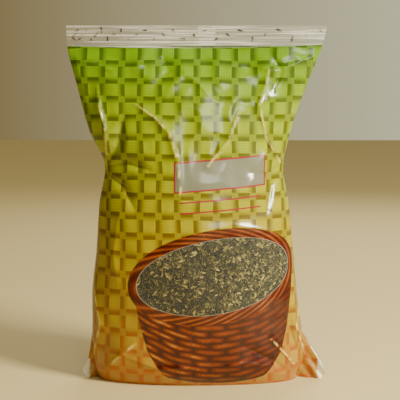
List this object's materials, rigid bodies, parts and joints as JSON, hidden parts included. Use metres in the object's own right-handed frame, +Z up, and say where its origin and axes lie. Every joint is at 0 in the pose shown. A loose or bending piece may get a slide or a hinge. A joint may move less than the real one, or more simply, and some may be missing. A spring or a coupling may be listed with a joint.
{
  "type": "pouch of dried herbs",
  "caption": "Clear pillow pouch of crushed dried basil with a plaited-leaf print, an oval window in a printed basket, a clear header and a back fin.",
  "frame": {"origin": "on the surface it stands on, under the middle of the pouch", "axes": "+Z up from the base to the header, the printed front faces -Y, the back fin faces +Y"},
  "size_m": [0.22, 0.086, 0.3],
  "materials": {
    "printed_film": "clear glossy film with a printed plaited-leaf pattern",
    "dried_basil": "dry matt crushed leaf"
  },
  "bodies": {
    "root": {"back_fin": "printed_film", "corner_flake_01": "dried_basil", "corner_flake_02": "dried_basil", "corner_flake_03": "dried_basil", "corner_flake_04": "dried_basil", "corner_flake_05": "dried_basil", "corner_flake_06": "dried_basil", "film_pouch": "printed_film", "header_flake_01": "dried_basil", "header_flake_02": "dried_basil", "header_flake_03": "dried_basil", "header_flake_04": "dried_basil", "header_flake_05": "dried_basil", "header_flake_06": "dried_basil", "header_flake_07": "dried_basil", "header_flake_08": "dried_basil", "header_flake_09": "dried_basil", "header_flake_10": "dried_basil", "header_flake_11": "dried_basil", "header_flake_12": "dried_basil", "header_flake_13": "dried_basil", "header_flake_14": "dried_basil", "header_flake_15": "dried_basil", "header_flake_16": "dried_basil", "header_flake_17": "dried_basil", "header_flake_18": "dried_basil", "header_flake_19": "dried_basil", "header_flake_20": "dried_basil", "header_flake_21": "dried_basil", "header_flake_22": "dried_basil", "header_flake_23": "dried_basil", "header_flake_24": "dried_basil", "header_flake_25": "dried_basil", "header_flake_26": "dried_basil", "header_flake_27": "dried_basil", "header_flake_28": "dried_basil", "header_flake_29": "dried_basil", "header_flake_30": "dried_basil", "herb_fill": "dried_basil"}
  },
  "joints": []
}
